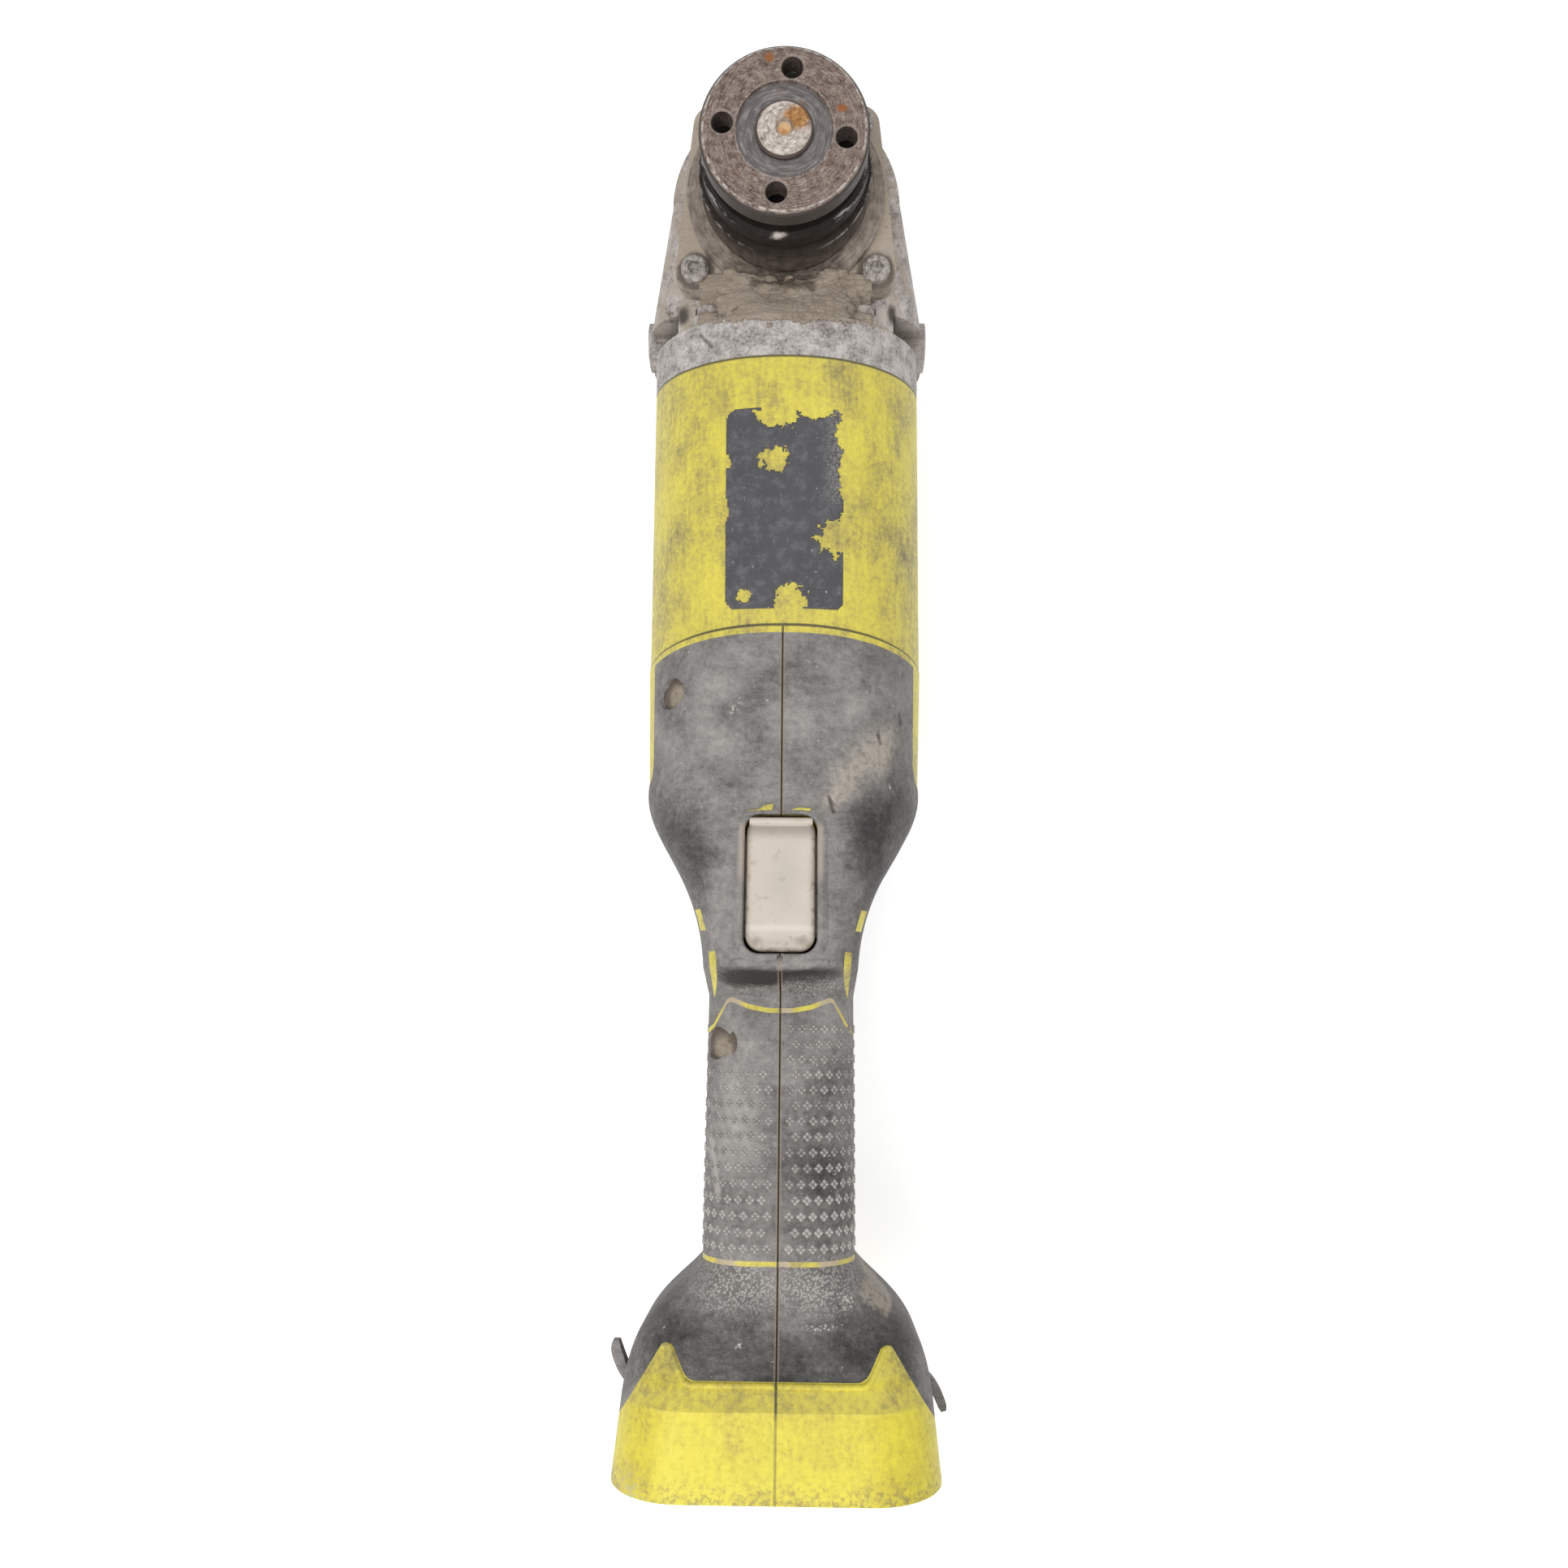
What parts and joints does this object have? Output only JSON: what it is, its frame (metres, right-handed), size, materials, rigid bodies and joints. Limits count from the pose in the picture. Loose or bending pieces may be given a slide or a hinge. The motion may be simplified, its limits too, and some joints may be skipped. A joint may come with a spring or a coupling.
{
  "type": "cordless angle grinder",
  "caption": "Barrel-bodied cordless angle grinder with flanged spindle, cast gear case, paddle trigger, rubber grip and open battery foot.",
  "frame": {"origin": "on the spindle axis, at the wheel seat on the inner flange", "axes": "+Z out along the spindle, +Y towards the nose of the gear case, the handle runs towards -Y, +X to the right seen from in front of the spindle with the nose up"},
  "size_m": [0.08, 0.3637, 0.1057],
  "materials": {
    "lime_plastic": "moulded lime yellow plastic, scuffed and grimy",
    "overmold": "dusty dark grey soft rubber",
    "cast_metal": "weathered cast aluminium",
    "worn_steel": "brown, lightly rusted turned steel",
    "plain_steel": "plain steel",
    "ferrite": "dark sintered magnet",
    "copper": "copper",
    "holder_brass": "folded brass",
    "carbon": "carbon",
    "felt": "oiled felt",
    "trigger_grey": "warm light grey plastic",
    "black_plastic": "black moulded plastic",
    "wire_sleeve": "insulated wire"
  },
  "bodies": {
    "housing": {"motor_housing": "lime_plastic", "handle_left": "lime_plastic", "handle_right": "lime_plastic", "belly_grip_left": "overmold", "belly_grip_right": "overmold", "palm_grip_left": "overmold", "palm_grip_right": "overmold", "foot_bumper_left": "overmold", "foot_bumper_right": "overmold", "gear_case": "cast_metal", "bearing_cover": "cast_metal", "bearing_plate": "cast_metal", "cover_screws": "plain_steel", "gear_case_screws": "plain_steel", "handle_screws": "plain_steel", "snap_ring": "plain_steel", "spindle_bush": "plain_steel", "lock_spring": "plain_steel", "motor_can": "plain_steel", "brush_springs": "plain_steel", "trigger_spring": "plain_steel", "spindle_bearing_outer": "plain_steel", "spindle_bearing_balls": "plain_steel", "front_bearing_outer": "plain_steel", "front_bearing_balls": "plain_steel", "rear_bearing_outer": "plain_steel", "rear_bearing_balls": "plain_steel", "field_magnets": "ferrite", "battery_terminals": "copper", "brush_holders": "holder_brass", "carbon_brushes": "carbon", "dust_seal": "felt", "brush_plate": "black_plastic", "switch_body": "black_plastic", "terminal_block": "black_plastic", "battery_leads": "wire_sleeve", "motor_leads": "wire_sleeve"},
    "spindle": {"spindle": "plain_steel", "ring_gear": "plain_steel", "spindle_bearing_inner": "plain_steel", "inner_flange": "worn_steel"},
    "armature": {"armature_shaft": "plain_steel", "armature_core": "plain_steel", "armature_windings": "copper", "commutator": "copper", "pinion": "plain_steel", "fan": "black_plastic", "front_bearing_inner": "plain_steel", "rear_bearing_inner": "plain_steel"},
    "nut": {"flange_nut": "worn_steel"},
    "lock": {"lock_button": "black_plastic", "lock_pin": "plain_steel"},
    "trigger": {"trigger": "trigger_grey", "switch_plunger": "black_plastic"},
    "lock_off": {"lock_off_bolt": "black_plastic"}
  },
  "joints": [
    {"name": "spindle_spin", "type": "hinge", "parent": "housing", "child": "spindle", "pos_m": [0, 0, 0], "axis": [0, 0, 1], "continuous": true},
    {"name": "armature_spin", "type": "hinge", "parent": "housing", "child": "armature", "pos_m": [0, 0, -0.053], "axis": [0, 1, 0], "continuous": true},
    {"name": "flange_nut_off", "type": "slide", "parent": "spindle", "child": "nut", "axis": [0, 0, 1], "range_m": [0, 0.025]},
    {"name": "spindle_lock_press", "type": "slide", "parent": "housing", "child": "lock", "axis": [0, 0, 1], "range_m": [0, 0.0045], "stiffness_N_per_m": 800, "springref_m": -0.003, "deforming": ["lock_spring"]},
    {"name": "trigger_squeeze", "type": "slide", "parent": "housing", "child": "trigger", "axis": [0, -0.2164, -0.9763], "range_m": [0, 0.0055], "stiffness_N_per_m": 1000, "springref_m": -0.003, "deforming": ["trigger_spring"]},
    {"name": "lock_off_slide", "type": "slide", "parent": "housing", "child": "lock_off", "axis": [1, 0, 0], "range_m": [-0.0025, 0.0025], "stiffness_N_per_m": 300}
  ],
  "couplings": [
    {"joint": "armature_spin", "follows": "spindle_spin", "ratio": 3.0833}
  ]
}
